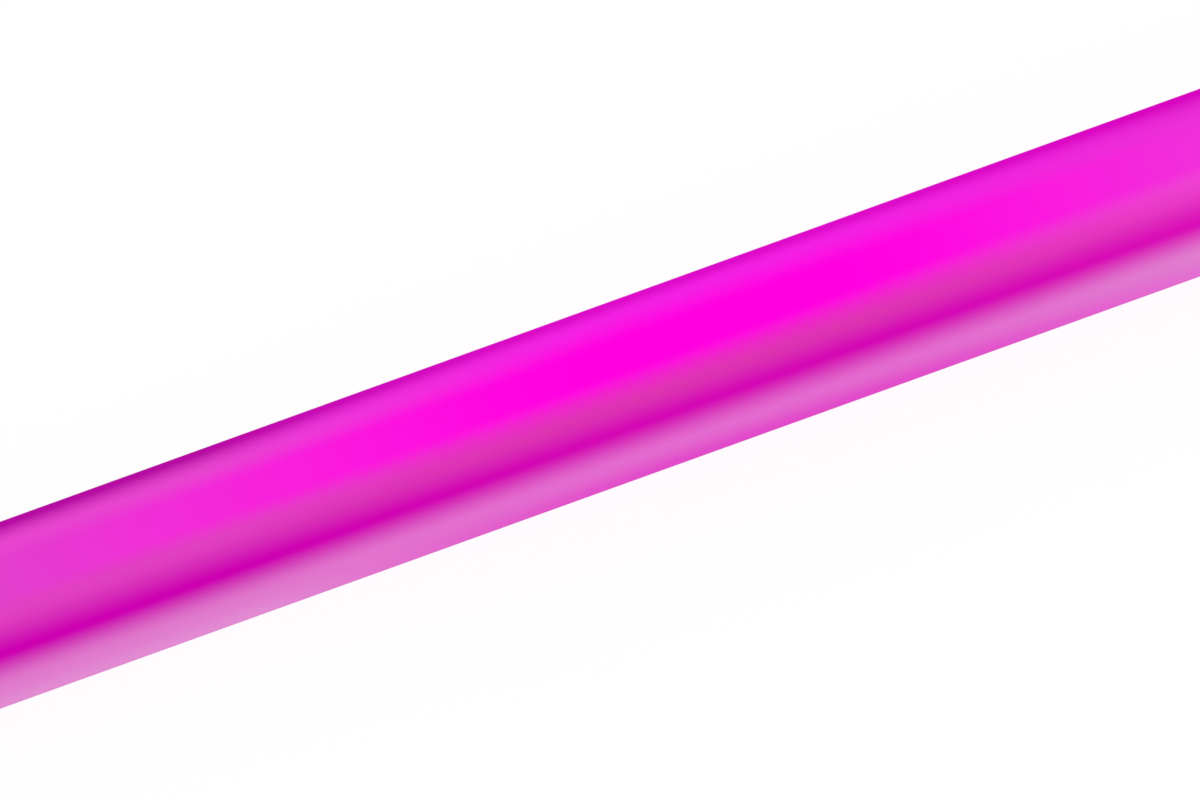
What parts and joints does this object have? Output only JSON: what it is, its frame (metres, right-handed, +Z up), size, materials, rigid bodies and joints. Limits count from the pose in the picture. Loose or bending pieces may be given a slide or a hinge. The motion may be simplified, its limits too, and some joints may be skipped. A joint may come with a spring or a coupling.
{
  "type": "led light tube",
  "caption": "Battery LED tube light: opal diffuser tube between octagonal black caps, recessed controls, charging socket under a flap, tripod inserts, bumpers and hanging bails.",
  "frame": {"origin": "on the floor under the middle of the light, below the tube's axis", "axes": "+X along the tube towards the control end, +Y towards the charging socket, +Z up, the way the LEDs shine"},
  "size_m": [0.5778, 0.051, 0.051],
  "materials": {
    "diffuser": "opal plastic lit magenta, smooth satin",
    "spine": "clear anodised extrusion",
    "led_board": "white solder mask",
    "led_package": "encapsulated LED",
    "connector": "moulded nylon",
    "cell": "sleeved round cell",
    "fibre": "fibre paper",
    "foam": "closed-cell foam",
    "battery_lead": "silicone wire",
    "led_lead": "silicone wire",
    "seal": "silicone ring",
    "housing": "fine-grain black moulding",
    "bumper": "soft black rubber",
    "screw": "black oxide steel",
    "bail": "bright stainless wire",
    "insert": "turned brass",
    "fascia": "gloss black",
    "window": "smoked clear window",
    "display": "dark display with lit characters",
    "circuit_board": "green solder mask",
    "component": "black packages",
    "key": "dark grey silicone",
    "encoder": "moulded body",
    "shaft": "turned steel",
    "dial": "black anodised",
    "receptacle": "folded plated steel",
    "port_cover": "soft black rubber"
  },
  "bodies": {
    "light": {"diffuser_tube": "diffuser", "spine": "spine", "led_board_1": "led_board", "led_board_2": "led_board", "led_board_3": "led_board", "led_packages_1": "led_package", "led_packages_2": "led_package", "led_packages_3": "led_package", "board_links": "connector", "battery_cells": "cell", "cell_spacers": "fibre", "battery_stop_far": "foam", "battery_stop_control": "foam", "battery_leads": "battery_lead", "led_leads": "led_lead", "far_tube_seal": "seal", "control_tube_seal": "seal", "far_spine_screws": "screw", "control_spine_screws": "screw", "far_end_plate": "housing", "control_end_plate": "housing", "far_insert": "insert", "control_insert": "insert", "far_plate_screws": "screw", "control_plate_screws": "screw", "far_bumper": "bumper", "control_bumper": "bumper", "far_cap": "housing", "control_housing": "housing", "control_fascia": "fascia", "display_window": "window", "display_module": "display", "key_switches": "component", "encoder_body": "encoder", "control_board": "circuit_board", "control_board_screws": "screw", "board_components": "component", "charge_board": "circuit_board", "charge_board_screws": "screw", "charge_receptacle": "receptacle", "port_cover_anchor": "port_cover"},
    "far_bail": {"far_bail": "bail"},
    "control_bail": {"control_bail": "bail"},
    "power_key": {"power_key": "key"},
    "mode_key": {"mode_key": "key"},
    "menu_key": {"menu_key": "key"},
    "back_key": {"back_key": "key"},
    "dial": {"dimmer_dial": "dial", "encoder_shaft": "shaft"},
    "port_flap": {"port_cover": "port_cover"}
  },
  "joints": [
    {"name": "far_bail_hinge", "type": "hinge", "parent": "light", "child": "far_bail", "pos_m": [-0.2861, 0, 0.0385], "axis": [0, 1, 0], "range_deg": [-2, 180]},
    {"name": "control_bail_hinge", "type": "hinge", "parent": "light", "child": "control_bail", "pos_m": [0.2861, 0, 0.0385], "axis": [0, -1, 0], "range_deg": [-2, 180]},
    {"name": "power_key_press", "type": "slide", "parent": "light", "child": "power_key", "axis": [0, 1, 0], "range_m": [0, 0.0005], "stiffness_N_per_m": 1000},
    {"name": "mode_key_press", "type": "slide", "parent": "light", "child": "mode_key", "axis": [0, 1, 0], "range_m": [0, 0.0005], "stiffness_N_per_m": 1000},
    {"name": "menu_key_press", "type": "slide", "parent": "light", "child": "menu_key", "axis": [0, 1, 0], "range_m": [0, 0.0005], "stiffness_N_per_m": 1000},
    {"name": "back_key_press", "type": "slide", "parent": "light", "child": "back_key", "axis": [0, 1, 0], "range_m": [0, 0.0005], "stiffness_N_per_m": 1000},
    {"name": "dial_turn", "type": "hinge", "parent": "light", "child": "dial", "pos_m": [0.253, -0.024, 0.0255], "axis": [0, -1, 0], "continuous": true},
    {"name": "port_flap_hinge", "type": "hinge", "parent": "light", "child": "port_flap", "pos_m": [0.223, 0.024, 0.0255], "axis": [0, 0, 1], "range_deg": [0, 120]}
  ]
}
